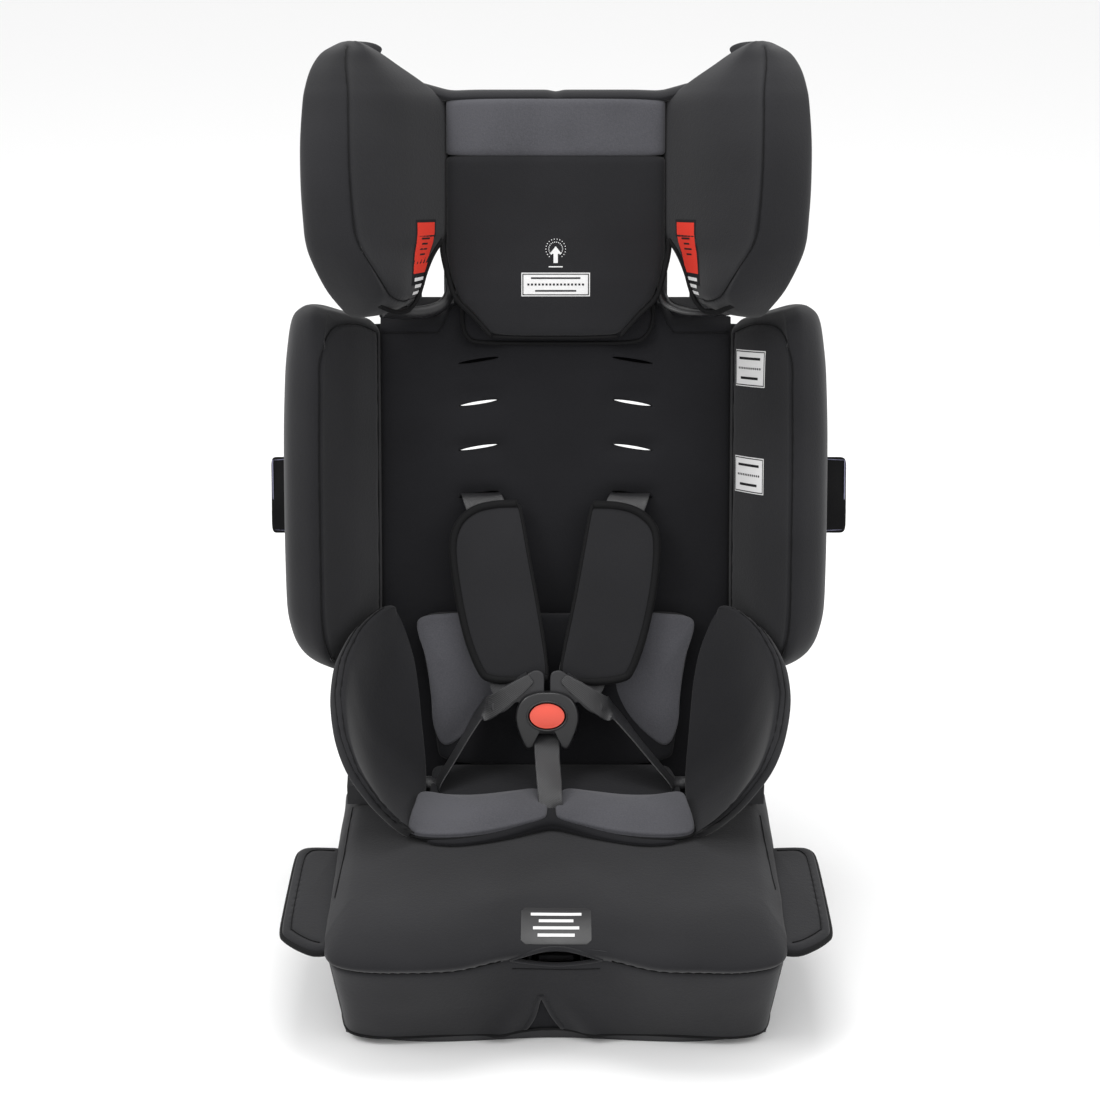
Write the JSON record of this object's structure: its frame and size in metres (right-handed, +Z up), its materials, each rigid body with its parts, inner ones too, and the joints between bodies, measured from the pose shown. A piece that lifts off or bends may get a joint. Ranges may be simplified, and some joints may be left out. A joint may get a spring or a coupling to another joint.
{
  "type": "convertible car seat",
  "caption": "Child's convertible car seat with padded side wings, a sliding winged headrest, a removable infant insert and a five-point harness with a push-button buckle.",
  "frame": {"origin": "on the floor plane, at the middle of the cross web under the base", "axes": "+Z up, -Y the way the child faces, +X to the left of a seated child"},
  "size_m": [0.528, 0.5666, 0.8029],
  "materials": {
    "shell_plastic": "fine texture",
    "charcoal_fabric": "knitted",
    "black_fabric": "knitted",
    "insert_grey_fabric": "heather",
    "pad_fabric": "brushed",
    "tag_fabric": "woven",
    "foam": "foam",
    "steel": "zinc plated",
    "tongue_metal": "black satin",
    "webbing": "woven webbing",
    "buckle_plastic": "satin",
    "button_red": "satin"
  },
  "bodies": {
    "seat": {"base_shell": "shell_plastic", "seat_foam": "foam", "base_cover": "charcoal_fabric", "left_side_flap": "charcoal_fabric", "right_side_flap": "charcoal_fabric", "left_belt_guide": "shell_plastic", "right_belt_guide": "shell_plastic", "back_shell": "shell_plastic", "back_cover": "black_fabric", "left_wing_pad": "charcoal_fabric", "right_wing_pad": "charcoal_fabric", "left_side_tag": "tag_fabric", "right_side_tag": "tag_fabric", "left_back_bracket": "steel", "right_back_bracket": "steel", "bracket_bolts": "steel", "rack_strip": "shell_plastic", "crotch_anchor_bar": "steel", "left_hip_anchor_bar": "steel", "right_hip_anchor_bar": "steel", "adjuster_housing": "shell_plastic", "adjuster_pin": "steel", "adjuster_spring": "steel", "adjuster_strap": "webbing", "harness_yoke": "steel", "left_shoulder_strap": "webbing", "right_shoulder_strap": "webbing", "left_shoulder_pad": "pad_fabric", "right_shoulder_pad": "pad_fabric", "left_lap_strap": "webbing", "right_lap_strap": "webbing", "crotch_strap": "webbing", "buckle_rear_housing": "buckle_plastic", "buckle_front_housing": "buckle_plastic", "buckle_spring": "steel", "insert_seat_pad": "insert_grey_fabric", "insert_back_pad": "insert_grey_fabric", "left_bolster": "charcoal_fabric", "right_bolster": "charcoal_fabric", "rod_guides": "shell_plastic", "back_frame": "shell_plastic", "left_flap_ledge": "shell_plastic", "right_flap_ledge": "shell_plastic", "tether_anchor_bracket": "steel"},
    "headrest": {"headrest_shell": "shell_plastic", "left_headrest_rod": "steel", "right_headrest_rod": "steel", "headrest_rear_cover": "shell_plastic", "headrest_cushion": "charcoal_fabric", "headrest_apron": "black_fabric", "left_headrest_pod": "charcoal_fabric", "right_headrest_pod": "charcoal_fabric", "release_spring": "steel"},
    "headrest_release": {"release_yoke": "buckle_plastic"},
    "buckle_button": {"buckle_button": "button_red"},
    "buckle_latch": {"buckle_latch": "steel"},
    "left_tongue": {"left_tongue": "tongue_metal"},
    "right_tongue": {"right_tongue": "tongue_metal"},
    "adjuster_lever": {"adjuster_lever": "buckle_plastic"}
  },
  "joints": [
    {"name": "headrest_slide", "type": "slide", "parent": "seat", "child": "headrest", "axis": [0, 0.2588, 0.9659], "range_m": [-0.12, 0]},
    {"name": "headrest_release_press", "type": "slide", "parent": "headrest", "child": "headrest_release", "axis": [0, 0.9659, -0.2588], "range_m": [0, 0.006], "stiffness_N_per_m": 900, "springref_m": -0.004, "deforming": ["release_spring"]},
    {"name": "buckle_button_press", "type": "slide", "parent": "seat", "child": "buckle_button", "axis": [0, 0.9659, -0.2588], "range_m": [0, 0.0035], "stiffness_N_per_m": 3000, "springref_m": -0.003, "deforming": ["buckle_spring"]},
    {"name": "buckle_latch_slide", "type": "slide", "parent": "seat", "child": "buckle_latch", "axis": [0, -0.2588, -0.9659], "range_m": [0, 0.0025]},
    {"name": "left_tongue_slide", "type": "slide", "parent": "seat", "child": "left_tongue", "axis": [0, 0.2588, 0.9659], "range_m": [0, 0.022], "deforming": ["left_shoulder_strap", "left_lap_strap"]},
    {"name": "right_tongue_slide", "type": "slide", "parent": "seat", "child": "right_tongue", "axis": [0, 0.2588, 0.9659], "range_m": [0, 0.022], "deforming": ["right_shoulder_strap", "right_lap_strap"]},
    {"name": "adjuster_lever_lift", "type": "hinge", "parent": "seat", "child": "adjuster_lever", "pos_m": [0, -0.178, 0.088], "axis": [-1, 0, 0], "range_deg": [0, 18], "stiffness_Nm_per_rad": 0.6, "springref_deg": -11.46}
  ],
  "couplings": [
    {"joint": "buckle_latch_slide", "follows": "buckle_button_press", "ratio": 0.71429}
  ]
}
